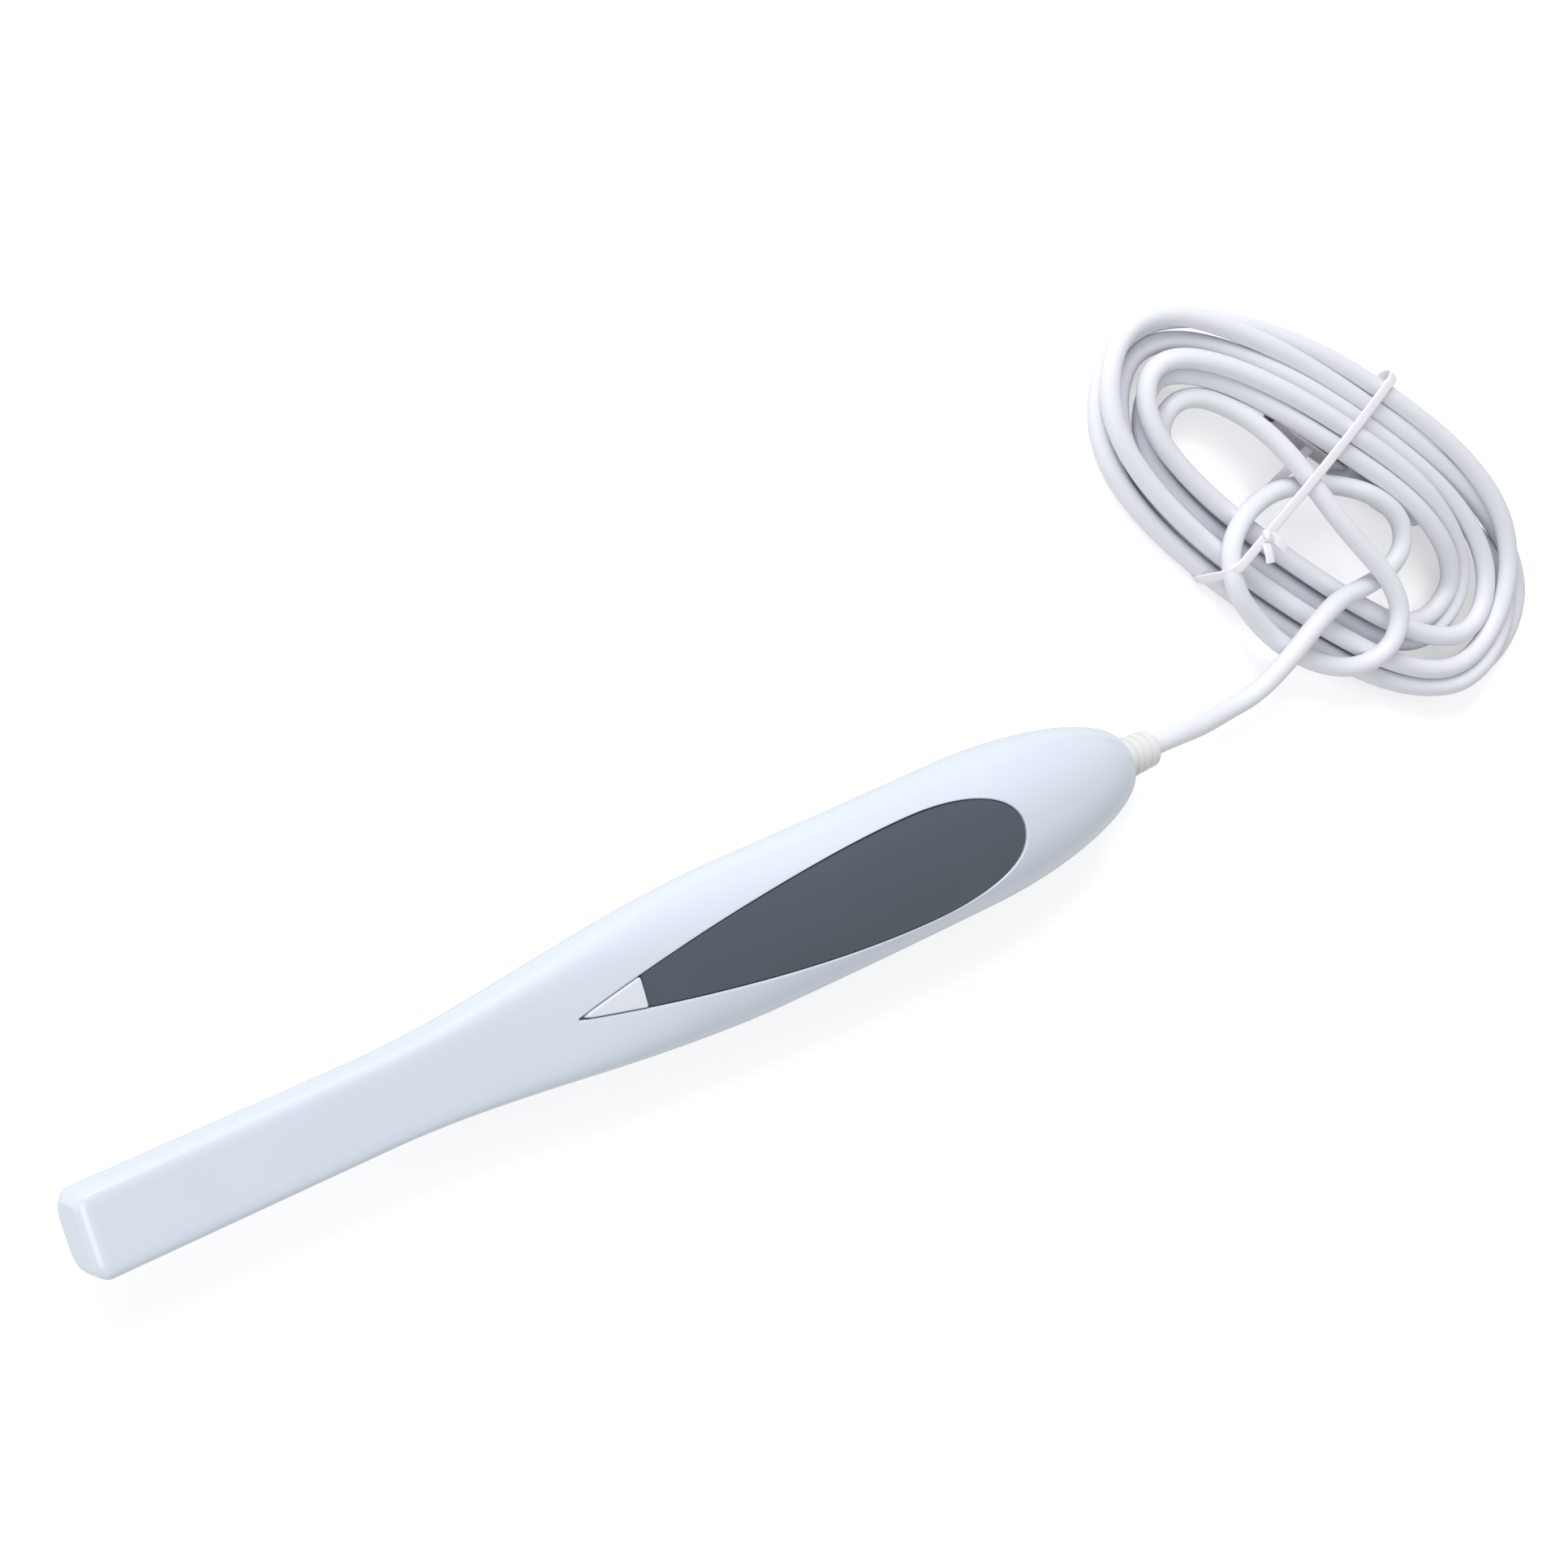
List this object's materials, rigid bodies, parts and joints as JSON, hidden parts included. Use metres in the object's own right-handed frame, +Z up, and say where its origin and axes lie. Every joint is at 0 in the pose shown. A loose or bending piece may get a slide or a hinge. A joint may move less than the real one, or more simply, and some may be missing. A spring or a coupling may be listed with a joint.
{
  "type": "intraoral camera",
  "caption": "Handheld dental camera wand: flat-topped neck, swollen grip with a dark inlay and a capture button, ribbed strain relief and a thin cable tied in a hank.",
  "frame": {"origin": "on the table under the middle of the wand's length, with the wand lying on its belly", "axes": "+X from the tip along the wand to the cable, +Y to the side on the left of someone looking along +X, +Z up out of the inlay"},
  "size_m": [0.3113, 0.0926, 0.0199],
  "materials": {
    "white_shell": "gloss",
    "button_white": "gloss",
    "slate_panel": "satin",
    "soft_boot": "matte",
    "cable_jacket": "satin",
    "tie_film": "satin",
    "plug_overmould": "satin",
    "plug_steel": "bright",
    "plug_tongue": "matte",
    "window_glass": "clear",
    "gasket_foam": "matte",
    "circuit_board": "satin",
    "led_package": "satin",
    "lens_black": "matte",
    "lens_glass": "clear",
    "filter_glass": "clear",
    "chip_epoxy": "matte",
    "ribbon_film": "satin",
    "capacitor_ceramic": "matte",
    "connector_nylon": "matte",
    "switch_body": "satin",
    "screw_steel": "bright",
    "wire_jacket": "satin"
  },
  "bodies": {
    "housing": {"board_screws": "screw_steel", "bottom_shell": "white_shell", "cable_clamp": "connector_nylon", "cable_coil": "cable_jacket", "cable_connector": "connector_nylon", "cable_lead": "cable_jacket", "cable_tie": "tie_film", "capacitors": "capacitor_ceramic", "case_screws": "screw_steel", "clamp_screws": "screw_steel", "crystal_can": "plug_steel", "ffc_connector": "connector_nylon", "flex_ribbon": "ribbon_film", "front_lens": "lens_glass", "inlay": "slate_panel", "inner_cable": "cable_jacket", "ir_filter": "filter_glass", "led_board": "circuit_board", "leds": "led_package", "lens_barrel": "lens_black", "lens_holder": "lens_black", "lens_window": "window_glass", "main_board": "circuit_board", "memory_chip": "chip_epoxy", "rear_lens": "lens_glass", "sensor_board": "circuit_board", "sensor_chip": "chip_epoxy", "signal_wires": "wire_jacket", "strain_relief": "soft_boot", "tact_switch": "switch_body", "top_shell": "white_shell", "usb_controller_chip": "chip_epoxy", "usb_plug_housing": "plug_overmould", "usb_plug_shell": "plug_steel", "usb_plug_tongue": "plug_tongue", "window_gasket": "gasket_foam"},
    "button": {"capture_button": "button_white", "switch_plunger": "lens_black"}
  },
  "joints": [
    {"name": "button_press", "type": "slide", "parent": "housing", "child": "button", "axis": [0, 0, -1], "range_m": [0, 0.0005], "stiffness_N_per_m": 4000, "springref_m": -0.0002}
  ]
}
